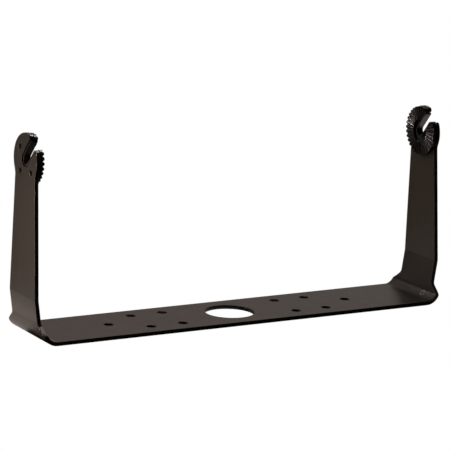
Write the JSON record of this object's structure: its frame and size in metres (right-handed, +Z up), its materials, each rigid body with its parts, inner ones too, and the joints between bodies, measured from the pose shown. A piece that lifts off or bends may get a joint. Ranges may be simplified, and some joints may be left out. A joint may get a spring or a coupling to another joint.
{
  "type": "chartplotter gimbal mounting bracket",
  "caption": "Wide U-shaped gimbal bracket of bent sheet metal: flat drilled base, tapering arms, and round slotted heads with toothed ratchet discs that hold a tilting display.",
  "frame": {"origin": "centre of the base's underside", "axes": "+X along the base towards the right arm, +Y to the back, +Z up; the head slots open upwards and to the front (-Y)"},
  "size_m": [0.34, 0.06, 0.1474],
  "materials": {
    "powder_coated_metal": "fine-grained satin powder coat, warm near-black",
    "moulded_plastic": "semi-gloss moulded black plastic",
    "blackened_screw_steel": "blackened steel"
  },
  "bodies": {
    "root": {"bracket_yoke": "powder_coated_metal", "ratchet_disc_left": "moulded_plastic", "ratchet_disc_right": "moulded_plastic", "disc_screw_left_1": "blackened_screw_steel", "disc_screw_left_2": "blackened_screw_steel", "disc_screw_left_3": "blackened_screw_steel", "disc_screw_right_1": "blackened_screw_steel", "disc_screw_right_2": "blackened_screw_steel", "disc_screw_right_3": "blackened_screw_steel"}
  },
  "joints": []
}
